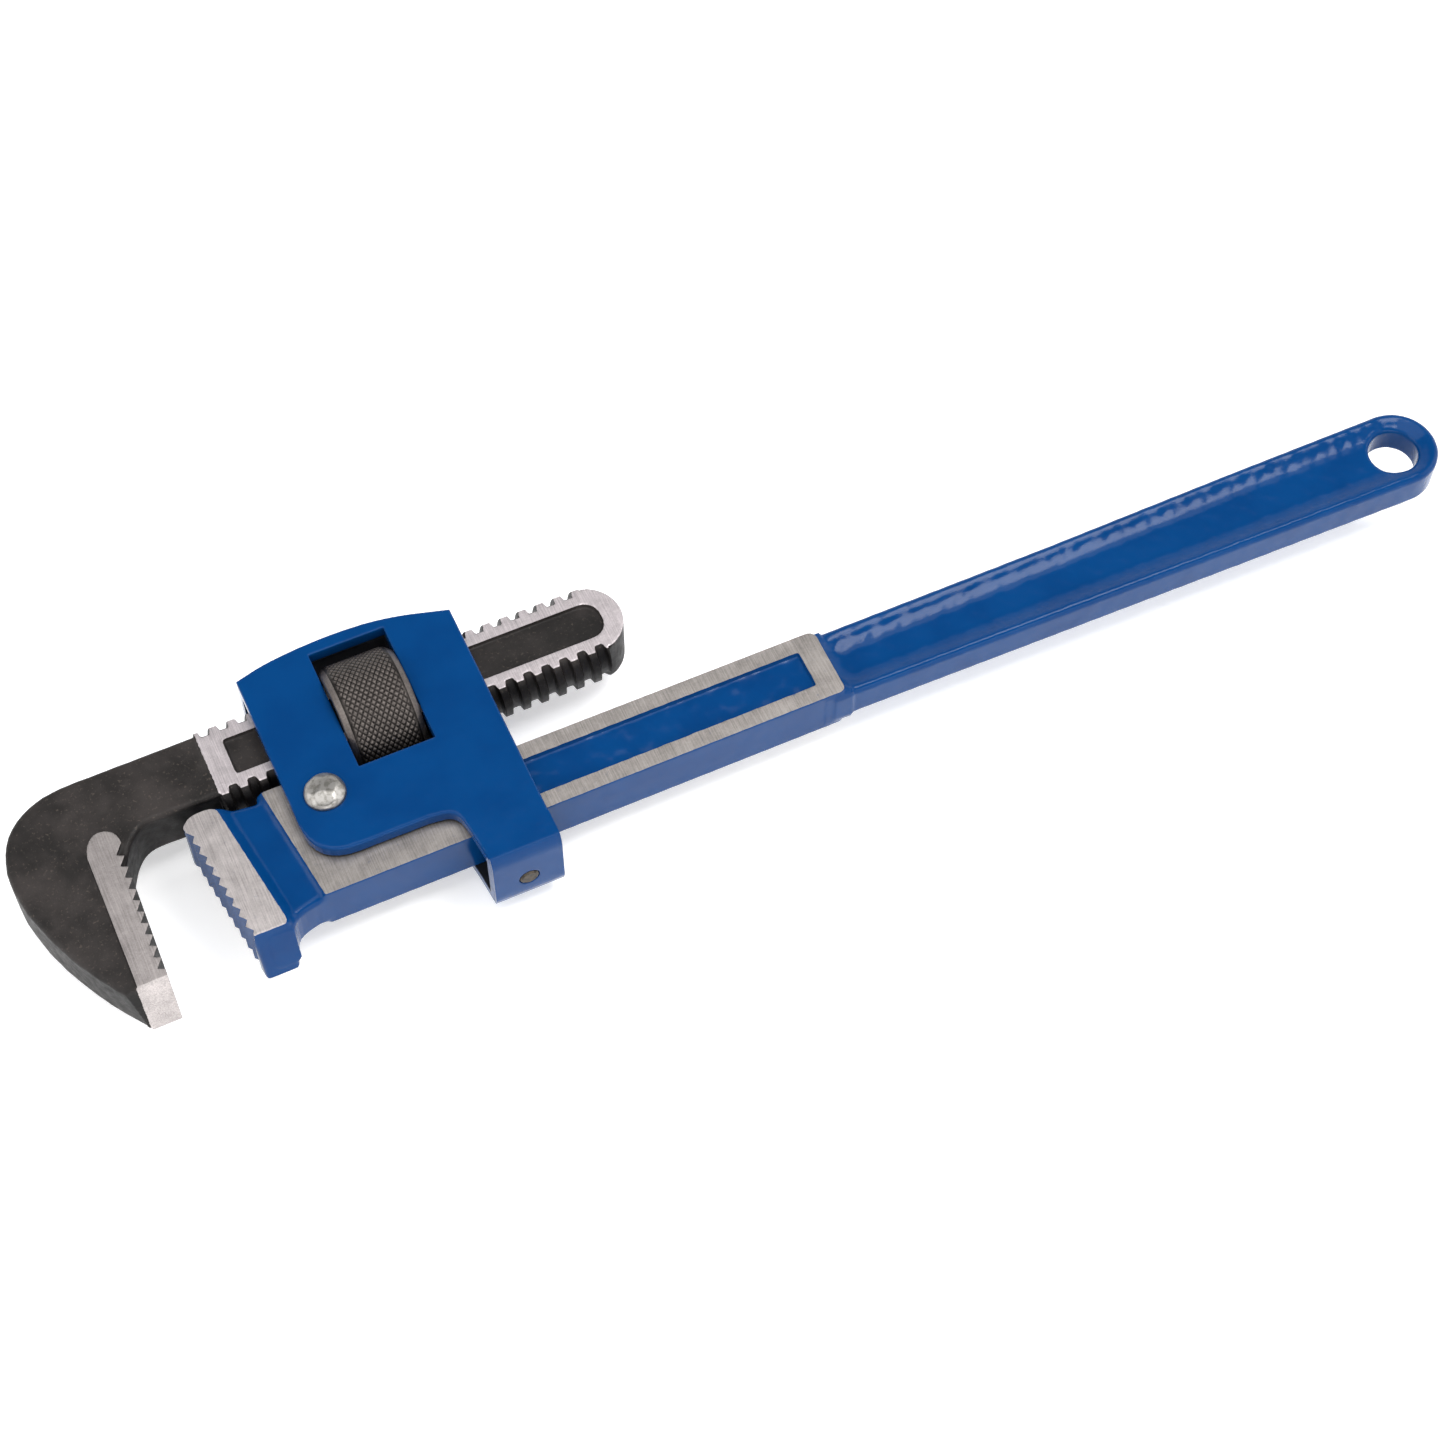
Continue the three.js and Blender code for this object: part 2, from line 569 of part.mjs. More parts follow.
const bandFloor = BAND_INSIDE + GAP;
addNode("frame_spring", leafSpring(-6, 5.5, bandFloor, 3.4, [-6.5, HEAD_BOTTOM - 1.4],
  BAND_RIVET), SPRING);
addNode("frame_spring_rivet", smallRivet(BAND_RIVET, BAND_OUTSIDE + 0.7,
  BAND_OUTSIDE + BAND_HOLE_DEPTH - GAP, BAND_HOLE_RADIUS - GAP,
  bandFloor + LEAF_THICK + GAP + UPSET), RIVET);
const jawFoot = HEAD_TOP + GAP;
addNode("jaw_spring", leafSpring(-4.5, 6, jawFoot, 4.6, [-3, 26.1], JAW_RIVET), SPRING);
addNode("jaw_spring_rivet", smallRivet(JAW_RIVET, JAW_RIVET_BOTTOM, JAW_RIVET_BOTTOM + 1,
  BAND_RIVET_RADIUS, jawFoot + LEAF_THICK + GAP + UPSET), RIVET);

const box = new THREE.Box3().setFromObject(wrench);
const centre = box.getCenter(new THREE.Vector3());
wrench.traverse((node) => {
  if (node.isMesh) node.geometry.translate(-centre.x, -centre.y, -box.min.z);
});

export default wrench;
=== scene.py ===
import math
import bpy
import numpy as np
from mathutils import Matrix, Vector


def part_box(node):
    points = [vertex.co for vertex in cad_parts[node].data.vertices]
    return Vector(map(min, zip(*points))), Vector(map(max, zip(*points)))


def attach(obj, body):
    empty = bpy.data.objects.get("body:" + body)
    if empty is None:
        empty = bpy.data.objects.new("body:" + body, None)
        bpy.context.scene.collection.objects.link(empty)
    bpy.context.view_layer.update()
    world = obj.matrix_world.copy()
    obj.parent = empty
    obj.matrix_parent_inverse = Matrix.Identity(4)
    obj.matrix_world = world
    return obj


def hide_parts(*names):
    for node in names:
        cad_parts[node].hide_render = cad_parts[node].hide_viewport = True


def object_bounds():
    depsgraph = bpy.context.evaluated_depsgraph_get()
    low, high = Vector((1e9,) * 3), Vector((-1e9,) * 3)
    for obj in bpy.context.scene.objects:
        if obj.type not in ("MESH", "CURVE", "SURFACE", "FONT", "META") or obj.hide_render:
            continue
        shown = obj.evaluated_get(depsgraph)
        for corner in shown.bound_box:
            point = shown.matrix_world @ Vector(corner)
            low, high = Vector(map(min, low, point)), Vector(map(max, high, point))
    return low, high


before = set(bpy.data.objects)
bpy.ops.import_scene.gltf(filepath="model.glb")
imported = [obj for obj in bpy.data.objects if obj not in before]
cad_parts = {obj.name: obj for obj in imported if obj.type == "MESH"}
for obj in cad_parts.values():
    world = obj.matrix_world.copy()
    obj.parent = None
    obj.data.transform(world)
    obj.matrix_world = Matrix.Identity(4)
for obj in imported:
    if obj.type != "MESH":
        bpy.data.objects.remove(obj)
cad_low, cad_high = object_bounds()

# ---------------------------------------------------------------------------------------------
# The working frame of the shapes below, in millimetres: X along the handle to the hang hole,
# Y towards the threaded shank, Z out of the broad face, with the handle's axis at Y = 0 and its
# middle plane at Z = 0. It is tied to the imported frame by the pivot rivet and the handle.
# ---------------------------------------------------------------------------------------------
PIVOT = (-42.2, 15.8)
_low, _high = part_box("pivot_rivet")
_hlow, _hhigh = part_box("handle")
SHIFT = np.array([(_low.x + _high.x) * 500 - PIVOT[0], (_low.y + _high.y) * 500 - PIVOT[1],
                  (_hlow.z + _hhigh.z) * 500])
MIDDLE = SHIFT[2] / 1000  # height of the handle's middle plane in metres

HEAD_HALF, NECK_HALF, HEEL_HALF, GRIP_HALF, WEB_HALF = 8.3, 6.9, 9.6, 6.2, 4.1
HEAD_TOP, HEAD_BOTTOM, HEAD_END = 10.5, -11.9, 105.7
HANG_HOLE = (295.5, -2.3, 7.5)  # centre and radius
TAIL = (296.2, -2.0)  # centre of the handle's round end
HEEL_TIP, HOOK_TIP = (-16.6, -20.6), (-17.3, -22.0)  # Y of the jaws' slanted ends, front and back
SHANK_Y, SHANK_HALF, SHANK_START, THREAD_END, SHANK_END = 41.0, 8.0, -69.0, 50.0, 58.5
PITCH, CREST, ROOT, THREAD_PHASE = 5.6, 13.7, 12.05, 3.4
RIVET_BORE = 4.08
HOOK_HALF, HOOK_BACK, PAD_HALF = 8.3, -130.8, 9.0
NUT_START, NUT_LENGTH = -30.15, 22.2
FRAME_HALF, CHANNEL_HALF, FRAME_LEFT, FRAME_RIGHT = 12.9, 8.7, -52.4, 12.3
BAND_LEFT, BAND_INSIDE, BAND_OUTSIDE, BAND_CORNER = -8.6, -20.7, -25.5, -23.0
BAND_RIVET = (1.8, -2.5)


# ---- distance fields ----
def rounded(corners, steps=5):
    """Points of a closed outline from [x, y, radius] corners, a radius being rounded."""
    points = []
    for i, corner in enumerate(corners):
        x, y = corner[:2]
        radius = corner[2] if len(corner) > 2 else 0
        if radius == 0:
            points.append((x, y))
            continue
        ends = []
        for other in (corners[i - 1], corners[(i + 1) % len(corners)]):
            length = math.hypot(other[0] - x, other[1] - y)
            step = min(radius, 0.49 * length) / length
            ends.append((x + (other[0] - x) * step, y + (other[1] - y) * step))
        for k in range(steps + 1):
            t = k / steps
            points.append(tuple((1 - t) ** 2 * ends[0][c] + 2 * t * (1 - t) * (x, y)[c]
                                + t * t * ends[1][c] for c in (0, 1)))
    return points


def bezier(a, b, c, d, steps=14):
    """Points along a cubic curve, the first left out."""
    out = []
    for k in range(1, steps + 1):
        t = k / steps
        w = ((1 - t) ** 3, 3 * t * (1 - t) ** 2, 3 * t * t * (1 - t), t ** 3)
        out.append(tuple(sum(w[m] * (a, b, c, d)[m][i] for m in range(4)) for i in (0, 1)))
    return out


def area(points):
    """Field of signed distance to an outline in the plane, negative inside."""
    def field(x, y):
        x, y = np.asarray(x, np.float32), np.asarray(y, np.float32)
        shape = np.broadcast(x, y).shape
        best = np.full(shape, 1e9, np.float32)
        inside = np.zeros(shape, bool)
        for i, (bx, by) in enumerate(points):
            ax, ay = points[i - 1]
            ex, ey = bx - ax, by - ay
            wx, wy = x - ax, y - ay
            t = np.clip((wx * ex + wy * ey) / (ex * ex + ey * ey), 0, 1)
            np.minimum(best, (wx - ex * t) ** 2 + (wy - ey * t) ** 2, out=best)
            side = ex * wy - ey * wx
            inside ^= ((y >= ay) & (y < by) & (side > 0)) | ((y < ay) & (y >= by) & (side < 0))
        return np.where(inside, -1, 1) * np.sqrt(best)
    return field


def slab(flat, z, half, edge):
    """Outline field made a slab of that half thickness, with rounded edges."""
    w, v = flat + edge, np.abs(z) - half + edge
    return np.minimum(np.maximum(w, v), 0) + np.hypot(np.maximum(w, 0), np.maximum(v, 0)) - edge


def join(a, b, blend):
    """Union of two fields with a rounded inner corner."""
    h = np.maximum(blend - np.abs(a - b), 0) / blend
    return np.minimum(a, b) - h * h * blend / 4


def keep(a, b, blend):
    """Intersection of two fields with a rounded edge."""
    return -join(-a, -b, blend)


def dish(flat, z, floor, flare, depth, blend):
    """Field of a pocket cut into both faces: its floor at `floor`, its walls leaning outward."""
    wall = (flat - (np.abs(z) - floor) * flare / depth) / math.hypot(1, flare / depth)
    return keep(wall, floor - np.abs(z), blend)


def forged(x, y, z, size, height):
    """Slow unevenness of a forged surface."""
    s = 2 * math.pi / size
    return height * (np.sin(s * x + 1.3 * np.sin(s * 0.7 * y + 0.4)) * np.cos(s * 0.83 * y + z * 0.2)
                     + 0.6 * np.sin(s * 1.9 * x + 2.1 * np.cos(s * 0.6 * y) + 0.5 * z)) / 1.6


def uneven(x, y, height):
    """Small irregular dents of a forging, from waves running in many directions."""
    total = 0
    for k in range(11):
        turn, size = 2.4 * k + 0.3, 3.0 + 0.75 * k
        along = x * math.cos(turn) + y * math.sin(turn)
        total = total + size / 6 * np.sin(2 * math.pi * along / size + 1.7 * k
                                          + 1.5 * np.sin(along / 5.1 + k) * math.cos(k))
    return total * height / 3


def teeth(start, end, count, side, depth, skew):
    """Points of a row of saw teeth from start to end, cut `depth` deep on one side."""
    points = []
    for k in range(count):
        for share, back in ((k, 0), (k + skew, depth)):
            points.append((start[0] + (end[0] - start[0]) * share / count - side * back,
                           start[1] + (end[1] - start[1]) * share / count))
    return points + [end]


def tail(upper, lower, radius, x, y, steps=26):
    """Outline closed on the right by a half circle about (x, y)."""
    arc = [(x + radius * math.sin(math.pi * k / steps), y + radius * math.cos(math.pi * k / steps))
           for k in range(steps + 1)]
    return upper + arc + lower


def jaw_end(y, z, front, back, half):
    """Field of a slanted end face, at Y `front` on the upper face and `back` on the lower."""
    slope = (front - back) / (2 * half)
    return ((front + back) / 2 + slope * z - y) / math.hypot(1, slope)


# ---- meshing ----
def contour(field, xs, ys, zs):
    """Quads on field = 0 over a grid, with sharp edges and corners kept (dual contouring)."""
    axes = (xs.astype(np.float32), ys.astype(np.float32), zs.astype(np.float32))
    size = tuple(len(a) for a in axes)
    d = np.broadcast_to(field(axes[0][:, None, None], axes[1][None, :, None],
                              axes[2][None, None, :]), size).astype(np.float32)
    inside = d < 0
    cells, points, normals, quads = [], [], [], []
    stride = np.array([(size[1] - 1) * (size[2] - 1), size[2] - 1, 1], np.int64)
    for a in range(3):
        b, c = (a + 1) % 3, (a + 2) % 3
        lo = [slice(None)] * 3
        hi = [slice(None)] * 3
        lo[a], hi[a] = slice(None, -1), slice(1, None)
        idx = np.argwhere(inside[tuple(lo)] != inside[tuple(hi)])
        far = idx.copy()
        far[:, a] += 1
        d0, d1 = d[tuple(idx.T)].astype(float), d[tuple(far.T)].astype(float)
        p = [axes[k][idx[:, k]].astype(float) for k in range(3)]
        start, run = p[a].copy(), axes[a][far[:, a]].astype(float) - p[a]
        t0, t1 = np.zeros(len(idx)), np.ones(len(idx))
        flip = d0 >= 0
        for _ in range(3):
            t = t0 + (t1 - t0) * np.clip(d0 / (d0 - d1 + 1e-12), 0.02, 0.98)
            p[a] = start + run * t
            m = field(*p)
            same = (m >= 0) == (d0 >= 0)
            t0, d0 = np.where(same, t, t0), np.where(same, m, d0)
            t1, d1 = np.where(same, t1, t), np.where(same, d1, m)
        p[a] = start + run * (t0 + (t1 - t0) * np.clip(d0 / (d0 - d1 + 1e-12), 0, 1))
        n = np.zeros((len(idx), 3))
        for k, direction in enumerate(((1, -1, -1), (-1, -1, 1), (-1, 1, -1), (1, 1, 1))):
            e = 0.012
            n += field(*(p[m] + direction[m] * e for m in range(3)))[:, None] * np.array(direction)
        n /= np.linalg.norm(n, axis=1)[:, None] + 1e-12
        point = np.stack(p, 1)
        ring = []
        for ob, oc in ((1, 1), (0, 1), (0, 0), (1, 0)):
            cell = idx.copy()
            cell[:, b] -= ob
            cell[:, c] -= oc
            ring.append(cell @ stride)
            cells.append(cell @ stride)
            points.append(point)
            normals.append(n)
        ring = np.stack(ring, 1)
        ring[flip] = ring[flip][:, ::-1]
        quads.append(ring)
    cells, points, normals = map(np.concatenate, (cells, points, normals))
    quads = np.concatenate(quads)
    ids, where = np.unique(cells, return_inverse=True)
    total = len(ids)
    add = lambda w: np.bincount(where, w, total)
    count = add(np.ones(len(where)))
    mass = np.stack([add(points[:, k]) for k in range(3)], 1) / count[:, None]
    off = np.einsum("ij,ij->i", normals, points - mass[where])
    ata = np.zeros((total, 3, 3))
    atb = np.zeros((total, 3))
    for i in range(3):
        atb[:, i] = add(normals[:, i] * off)
        for j in range(i, 3):
            ata[:, i, j] = ata[:, j, i] = add(normals[:, i] * normals[:, j])
    ata += np.eye(3) * (0.04 * count)[:, None, None]
    vertex = mass + np.linalg.solve(ata, atb[:, :, None])[:, :, 0]
    cell = np.stack([ids // stride[0], (ids // stride[1]) % (size[1] - 1),
                     ids % (size[2] - 1)], 1)
    for k in range(3):
        vertex[:, k] = np.clip(vertex[:, k], axes[k][cell[:, k]], axes[k][cell[:, k] + 1])
    return vertex, np.searchsorted(ids, quads)


def mesh_object(name, vertices, faces, sharp=34.0):
    """Mesh piece from working-frame millimetres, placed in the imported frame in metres."""
    mesh = bpy.data.meshes.new(name)
    faces = np.asarray(faces, np.int32)
    mesh.vertices.add(len(vertices))
    mesh.vertices.foreach_set("co", ((vertices + SHIFT) / 1000).astype(np.float32).ravel())
    sides = faces.shape[1]
    mesh.loops.add(faces.size)
    mesh.loops.foreach_set("vertex_index", faces.ravel())
    mesh.polygons.add(len(faces))
    mesh.polygons.foreach_set("loop_start", np.arange(0, faces.size, sides, dtype=np.int32))
    mesh.update(calc_edges=True)
    mesh.validate()
    obj = bpy.data.objects.new(name, mesh)
    bpy.context.scene.collection.objects.link(obj)
    finish_shading(obj, sharp)
    return obj


def finish_shading(obj, sharp):
    obj.data.shade_smooth()
    obj.data.set_sharp_from_angle(angle=math.radians(sharp))


def lighten(obj, triangles, sharp=34.0):
    """Fewer triangles on the flat areas, the curved ones being kept."""
    obj.data.calc_loop_triangles()
    share = triangles / len(obj.data.loop_triangles)
    if share < 1:
        thin = obj.modifiers.new("thin", "DECIMATE")
        thin.ratio = share
        graph = bpy.context.evaluated_depsgraph_get()
        mesh = bpy.data.meshes.new_from_object(obj.evaluated_get(graph))
        obj.modifiers.clear()
        obj.data = mesh
        finish_shading(obj, sharp)
    even = obj.modifiers.new("even", "WEIGHTED_NORMAL")
    even.keep_sharp = True
    even.weight = 60


def steps(*spans):
    """Grid lines over spans of (start, end, spacing)."""
    lines = [np.arange(a, b, s * (1.0)) for a, b, s in spans]
    return np.concatenate(lines + [[spans[-1][1]]])


# ---- handle ----
neck_area = area(rounded([(-72, 26), (-50, 23), (-47, -8), (-52.5, HEAD_BOTTOM + 0.6),
                          (-55, HEAD_BOTTOM - 0.2), (-64.6, -14.5, 9), (-64.6, -24), (-72, -24)]))
head_area = area(rounded([(-60.0, 26.1, 1), (-40, 26.1, 4), (-34, 22, 4), (-31.5, HEAD_TOP, 4),
                          (HEAD_END + 0.6, HEAD_TOP, 3), (HEAD_END + 0.6, HEAD_BOTTOM, 2.2),
                          (-56, HEAD_BOTTOM, 1)]))
recess_area = area(rounded([(-3.5, 5, 1.5), (98.6, 5, 0.3), (98.6, -6.4, 0.3), (-3.5, -6.4, 1.5)]))
shoulder_area = area([(100, 10.2), (107.9, 10.1), (107.9, -12.2), (100, HEAD_BOTTOM + 0.1)])
grip_area = area(tail([(103, 10.1), (183, 10.1), (245, 10.8)], [(227, -14.0), (103, -12.2)],
                      13.0, *TAIL))
pocket_area = area(tail(rounded([(108.9, -1.4), (108.9, 4.8, 5), (183, 5.2)]) + [(245, 6.0)],
                        [(227, -9.2)] + rounded([(183, -8.3), (108.9, -7.6, 5), (108.9, -1.5)]),
                        7.8, *TAIL))
heel_area = area(teeth((-75.9, -16.5), (-81.5, 21.7), 10, -1, 1.4, 0.48)
                 + rounded([(-81.9, 23.6, 1), (-79.0, 26.4, 3), (-68.0, 26.4, 2), (-66.4, 21),
                            (-62.5, -12, 2), (-65.4, -17.5, 2), (-65.4, -24), (-74.9, -24)]))


def handle_field(x, y, z):
    wave = forged(x, y, z, 9.0, 0.07)
    neck = slab(neck_area(x, y) + wave, z, NECK_HALF, 2.0)
    head = slab(head_area(x, y) + 0.6 * wave, z + 0 * x, HEAD_HALF + 0.35, 0.95)
    rough = uneven(x, y, 0.05)
    recess = dish(recess_area(x, y) + wave, z, HEAD_HALF - 1.4 + 0.5 * wave + rough, 0.45, 1.4, 0.4)
    shoulder = slab(shoulder_area(x, y) + wave, z, HEAD_HALF - 0.9, 1.3)
    grip = slab(grip_area(x, y) + wave, z, GRIP_HALF + 0.5 * wave, 2.0)
    pocket = dish(pocket_area(x, y) + 1.4 * wave + rough, z, WEB_HALF + 0.6 * wave, 2.6, 2.1, 2.4)
    heel_wall = (x + 70.4 + 0.148 * (y - 19) - (HEEL_HALF - np.abs(z)) * 1.30) / 1.65
    heel = keep(heel_area(x, y), heel_wall + 0.4 * wave, 2.2)
    heel = slab(keep(heel, jaw_end(y, z, *HEEL_TIP, HEEL_HALF), 1.6), z, HEEL_HALF + 0.2, 0.35)
    head_wall = (-57.2 - 0.134 * (y - 19.5) - (HEAD_HALF - np.abs(z)) * 0.85 - x) / 1.32
    head = keep(head, head_wall + 0.5 * wave, 0.5)
    grip = keep(join(grip, shoulder, 1.6), -pocket, 0.8)
    body = join(neck, head, 1.3)
    body = np.minimum(join(body, grip, 0.7), join(heel, neck, 1.2))
    body = keep(body, -recess, 0.35)
    body = np.maximum(body, np.abs(z) - np.where(x < -62, HEEL_HALF, HEAD_HALF))
    body = keep(body, jaw_end(y, z, *HEEL_TIP, HEEL_HALF), 0.5)
    hole_x, hole_y, hole_r = HANG_HOLE
    return keep(body, hole_r - np.hypot(x - hole_x, y - hole_y), 1.3)


# ---- hook jaw ----
hook_outline = [(SHANK_START + 0.6, 51.6), (-106, 51.4)]
hook_outline += bezier((-106, 51.4), (-119, 51.4), (HOOK_BACK, 45), (HOOK_BACK, 28))
hook_outline += bezier((HOOK_BACK, 28), (HOOK_BACK, 14), (-122, -6), (-110.4, -21))
hook_outline += [(-110, -26), (-104.2, -26), (-104.2, 12), (-101.2, 17.5)]
hook_outline += bezier((-101.2, 17.5), (-98.4, 21.5), (-96.2, 30.4), (-88.5, 30.4))
hook_outline += [(SHANK_START + 0.6, 30.2)]
hook_area = area(hook_outline)
pad_area = area(teeth((-99.2, 26.2), (-100.5, -15.4), 11, 1, 2.0, 0.75)
                + rounded([(-100.9, -26), (-109.3, -26), (-109.0, 28.5, 4), (-104.6, 33.2, 4),
                           (-98.7, 30.6, 4)]))
NOSE = 11.4
nose_area = area(tail([(SHANK_START - 3, SHANK_Y + 20), (SHANK_END - NOSE, SHANK_Y + 20)],
                      [(SHANK_END - NOSE, SHANK_Y - 20), (SHANK_START - 3, SHANK_Y - 20)],
                      NOSE, SHANK_END - NOSE, SHANK_Y))
shank_pocket = area(rounded([(-61.8, 46.6, 0.8), (-61.8, 35.2, 0.8), (52, 35.2, 5.5),
                             (52, 46.6, 5.5)], 8))


def thread_field(x, y, z, crest, root):
    """Right-handed trapezoid thread about the shank's axis."""
    radius = np.hypot(y - SHANK_Y, z)
    turn = np.arctan2(z, y - SHANK_Y) / (2 * math.pi)
    along = (x - THREAD_PHASE) / PITCH - turn
    off = np.abs(along - np.round(along)) * PITCH
    tooth = np.maximum((off - (1.05 + (crest - radius) * 0.36)) * 0.94, radius - crest)
    return join(radius - root, tooth, 0.5)


def hook_field(x, y, z):
    wave = forged(x + 11, y, z, 11.0, 0.09)
    forging = slab(hook_area(x, y) + wave, z, HOOK_HALF + 0.6 * wave, 1.5)
    pad = slab(pad_area(x, y), z, PAD_HALF + 0.2, 0.3)
    hook = np.maximum(join(forging, pad, 0.8), np.abs(z) - PAD_HALF)
    hook = keep(hook, jaw_end(y, z, *HOOK_TIP, PAD_HALF), 0.25)
    rack = thread_field(x, y, z, CREST, ROOT)
    rack = np.maximum(rack, np.maximum(SHANK_START - x, x - THREAD_END))
    radius = np.hypot(y - SHANK_Y, z)
    core = np.maximum(radius - 11.0, np.maximum(SHANK_START - 2 - x, x - SHANK_END))
    nose = keep(keep(radius - CREST + 0.2, THREAD_END - 2.4 + (radius - 11) * 1.1 - x, 0.5),
                nose_area(x, y), 0.8)
    shank = np.minimum(np.minimum(rack, nose), np.maximum(core, nose_area(x, y)))
    shank = keep(shank, np.abs(z) - SHANK_HALF, 0.18)
    body = join(hook, shank, 0.7)
    pocket = dish(shank_pocket(x, y), z, SHANK_HALF - 1.1, 0.4, 1.1, 0.35)
    return keep(body, -pocket, 0.2)


# ---- frame ----
plate_area = area(rounded([(FRAME_LEFT, 60.7), (-42, 63.4, 12), (-24, 64.8, 12), (-6, 63.8, 12),
                           (FRAME_RIGHT, 58.4), (FRAME_RIGHT, BAND_CORNER - 1),
                           (BAND_LEFT, BAND_CORNER - 1), (-9.6, -13, 5), (-11.0, -4.4, 6),
                           (-19, -3.4), (FRAME_LEFT, -3.2, 13)], 8))
channel_area = area(rounded([(FRAME_LEFT - 9, 54.0), (-42, 60.1, 12), (-24, 61.5, 12),
                             (-6, 60.5, 12), (FRAME_RIGHT + 9, 52.6),
                             (FRAME_RIGHT + 9, BAND_INSIDE), (FRAME_LEFT - 9, BAND_INSIDE)], 8))
window_area = area(rounded([(-30.5, 20.0, 0.5), (-7.5, 20.0, 0.5), (-7.5, 60.3, 0.5),
                            (-30.5, 60.3, 0.5)]))


def frame_field(x, y, z):
    wave = forged(x - 5, y, z, 14.0, 0.05)
    plates = slab(plate_area(x, y) + 0.5 * wave, z + 0 * x, FRAME_HALF + 0.5 * wave, 0.75)
    arch = BAND_OUTSIDE + 2.2 * (np.abs(z) / FRAME_HALF) ** 2.2
    inner_corner = np.hypot(np.maximum(BAND_INSIDE + 0.6 - y, 0), np.maximum(np.abs(z) - 9.9, 0))
    corner_round = np.where(y < BAND_INSIDE + 0.6, inner_corner - 4.4, -1.0 + 0 * y)
    body = keep(plates, (arch - y) * 0.95, 1.6)
    body = keep(body, corner_round, 0.4)
    low_part = np.maximum(np.maximum(BAND_LEFT - x, x - FRAME_RIGHT), np.abs(z) - FRAME_HALF)
    band = np.maximum(np.maximum((arch - y) * 0.95, y + 15), low_part)
    band = keep(band, corner_round, 0.4)
    body = np.minimum(body, band)
    body = keep(body, -slab(channel_area(x, y), z, CHANNEL_HALF, 1.6), 0.45)
    body = keep(body, -window_area(x, y) + 0 * z, 0.5)
    bore = np.hypot(x - BAND_RIVET[0], z - BAND_RIVET[1])
    hole = np.maximum(bore - 3.1, y - (BAND_OUTSIDE + 2.4))
    body = keep(body, -hole, 0.35)
    return np.maximum(body, RIVET_BORE - np.hypot(x - PIVOT[0], y - PIVOT[1]))


# ---- rivet ----
rivet_cuts = [(Vector((math.cos(a) * math.sin(t), math.sin(a) * math.sin(t), math.cos(t))), push)
              for a, t, push in ((0.4, 0.12, 0.28), (2.5, 0.30, 0.20), (4.4, 0.36, 0.24),
                                 (5.6, 0.55, 0.16), (1.3, 0.62, 0.18), (3.4, 0.78, 0.16),
                                 (0.2, 0.95, 0.12), (2.0, 1.05, 0.10), (4.9, 1.0, 0.13))]


def rivet_field(x, y, z):
    px, py = x - PIVOT[0], y - PIVOT[1]
    radius = np.hypot(px, py)
    body = np.maximum(radius - 4.0, np.abs(z) - FRAME_HALF - 0.3)
    for sign, face, width, height in ((1, FRAME_HALF + 0.15, 6.1, 3.3),
                                      (-1, FRAME_HALF + 0.15, 5.4, 2.2)):
        up = sign * z - face
        scaled = np.sqrt((radius / width) ** 2 + (np.maximum(up, 0) / height) ** 2)
        head = np.maximum((scaled - 1) * height * 0.9, -up)
        for normal, push in rivet_cuts:
            tilt = math.hypot(normal.x, normal.y) * width
            top = math.hypot(tilt, normal.z * height)
            plane = px * normal.x + py * normal.y + up * normal.z - top + push
            head = keep(head, plane, 0.22)
        head = keep(head, radius - width + 0.05 + 0.12 * np.sin(3 * np.arctan2(py, px)), 0.2)
        body = np.minimum(body, head)
    return body


FINE = 0.42  # grid spacing where teeth and edges are small
pieces = {}


def build(name, field, xs, ys, zs, triangles, sharp=34.0):
    """Meshes a field as the piece of that name, with at most about `triangles` triangles."""
    vertices, quads = contour(field, xs, ys, zs)
    obj = mesh_object(name, vertices, quads, sharp)
    lighten(obj, triangles, sharp)
    pieces[name] = obj


build("forged_handle", handle_field,
      steps((-85.03, -52, FINE), (-52, 113, 0.5), (113, 276, 0.85), (276, 311.2, 0.5)),
      steps((-24.03, 28.6, 0.43)), steps((-10.37, 10.6, 0.43)), 185000)
build("hook_and_rack", hook_field, steps((-132.03, 60.4, FINE)), steps((-25.03, 56.6, FINE)),
      steps((-9.83, 9.9, 0.41)), 190000)
build("housing", frame_field, steps((-54.03, 13.6, FINE)), steps((-27.03, 66.2, FINE)),
      steps((-14.03, 14.3, FINE)), 170000, 40.0)
build("pivot_pin", rivet_field, steps((PIVOT[0] - 6.83, PIVOT[0] + 7, 0.2)),
      steps((PIVOT[1] - 6.83, PIVOT[1] + 7, 0.2)),
      steps((-15.9, -12.0, 0.2), (-12.0, 12.0, 1.0), (12.0, 17.0, 0.2)), 60000, 30.0)


